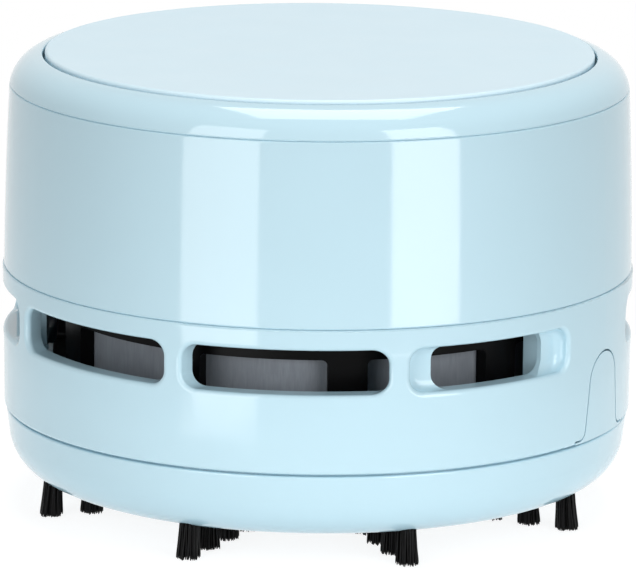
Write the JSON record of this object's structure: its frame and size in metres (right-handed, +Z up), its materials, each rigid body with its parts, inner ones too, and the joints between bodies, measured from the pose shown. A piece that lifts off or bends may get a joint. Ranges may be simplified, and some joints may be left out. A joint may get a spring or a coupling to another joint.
{
  "type": "desktop mini vacuum cleaner",
  "caption": "Round battery-powered desk sweeper with a pressed top plate, vented waist, pull-off crumb tray and bristle tufts underneath.",
  "frame": {"origin": "centre of the round body at the height of the bristle tips", "axes": "+Z up, -Y to the front, +X to the right; the two release tabs lie on X"},
  "size_m": [0.0852, 0.0852, 0.0617],
  "materials": {
    "shell_blue": "glossy pale blue ABS",
    "plate_blue": "finely textured pale blue ABS",
    "cage_black": "moulded black ABS",
    "filter_grey": "satin grey non-woven",
    "cloth_white": "white non-woven",
    "frame_grey": "moulded grey polypropylene",
    "bristle_black": "black nylon bristle",
    "foam_grey": "closed-cell foam",
    "inner_grey": "moulded dark grey ABS",
    "impeller_white": "moulded white acetal",
    "spring_steel": "nickel-plated wire",
    "contact_nickel": "nickel-plated strip",
    "screw_steel": "zinc-plated steel",
    "can_steel": "drawn zinc-plated steel",
    "end_cap_white": "white nylon",
    "bush_brass": "sintered bronze",
    "magnet_grey": "sintered ferrite",
    "armature_steel": "laminations with copper winding",
    "cell_jacket": "plain printed jacket",
    "switch_black": "moulded black nylon",
    "plunger_white": "moulded white acetal",
    "board_green": "solder-masked laminate",
    "lead_red": "red PVC",
    "lead_black": "black PVC"
  },
  "bodies": {
    "housing": {"upper_shell": "shell_blue", "lower_shell": "shell_blue", "vent_cage": "cage_black", "exhaust_filter": "filter_grey", "dust_filter_frame": "frame_grey", "dust_filter_cloth": "cloth_white", "fan_cowl": "cage_black", "cowl_screws": "screw_steel", "motor_deck": "inner_grey", "deck_screws": "screw_steel", "holder_screws": "screw_steel", "motor_screws": "screw_steel", "motor_can": "can_steel", "motor_magnets": "magnet_grey", "motor_end_cap": "end_cap_white", "motor_bushes": "bush_brass", "motor_terminals": "contact_nickel", "battery_holder": "inner_grey", "cell_left": "cell_jacket", "cell_right": "cell_jacket", "cell_spring_left": "spring_steel", "cell_spring_right": "spring_steel", "contact_bridge": "contact_nickel", "contact_plus": "contact_nickel", "contact_minus": "contact_nickel", "switch_case": "switch_black", "switch_board": "board_green", "board_screws": "screw_steel", "lead_plus": "lead_red", "lead_switch": "lead_red", "lead_minus": "lead_black"},
    "rotor": {"motor_shaft": "screw_steel", "motor_armature": "armature_steel", "impeller": "impeller_white"},
    "tray": {"dust_tray": "shell_blue", "tray_seals": "foam_grey", "bristle_row_1": "bristle_black", "bristle_row_2": "bristle_black", "bristle_row_3": "bristle_black", "bristle_row_4": "bristle_black", "bristle_row_5": "bristle_black", "bristle_row_6": "bristle_black", "bristle_row_7": "bristle_black", "bristle_row_8": "bristle_black"},
    "tab_right": {"release_tab_right": "shell_blue"},
    "tab_left": {"release_tab_left": "shell_blue"},
    "cap": {"cap_ring": "shell_blue", "plate_spring": "spring_steel"},
    "plate": {"power_plate": "plate_blue"},
    "plunger": {"switch_plunger": "plunger_white"}
  },
  "joints": [
    {"name": "cap_lift", "type": "slide", "parent": "housing", "child": "cap", "axis": [0, 0, 1], "range_m": [0, 0.02]},
    {"name": "plate_press", "type": "slide", "parent": "cap", "child": "plate", "axis": [0, 0, -1], "range_m": [0, 0.0015], "stiffness_N_per_m": 800, "springref_m": -0.001, "deforming": ["plate_spring"]},
    {"name": "plunger_press", "type": "slide", "parent": "housing", "child": "plunger", "axis": [0, 0, -1], "range_m": [0, 0.0015]},
    {"name": "impeller_spin", "type": "hinge", "parent": "housing", "child": "rotor", "pos_m": [0, 0, 0.0292], "axis": [0, 0, 1], "continuous": true},
    {"name": "tray_release", "type": "slide", "parent": "housing", "child": "tray", "axis": [0, 0, -1], "range_m": [0, 0.028]},
    {"name": "tab_right_press", "type": "hinge", "parent": "tray", "child": "tab_right", "pos_m": [0.039, 0, 0.0136], "axis": [0, -1, 0], "range_deg": [0, 5], "stiffness_Nm_per_rad": 0.5},
    {"name": "tab_left_press", "type": "hinge", "parent": "tray", "child": "tab_left", "pos_m": [-0.039, 0, 0.0136], "axis": [0, 1, 0], "range_deg": [0, 5], "stiffness_Nm_per_rad": 0.5}
  ],
  "couplings": [
    {"joint": "plunger_press", "follows": "plate_press", "ratio": 1}
  ]
}
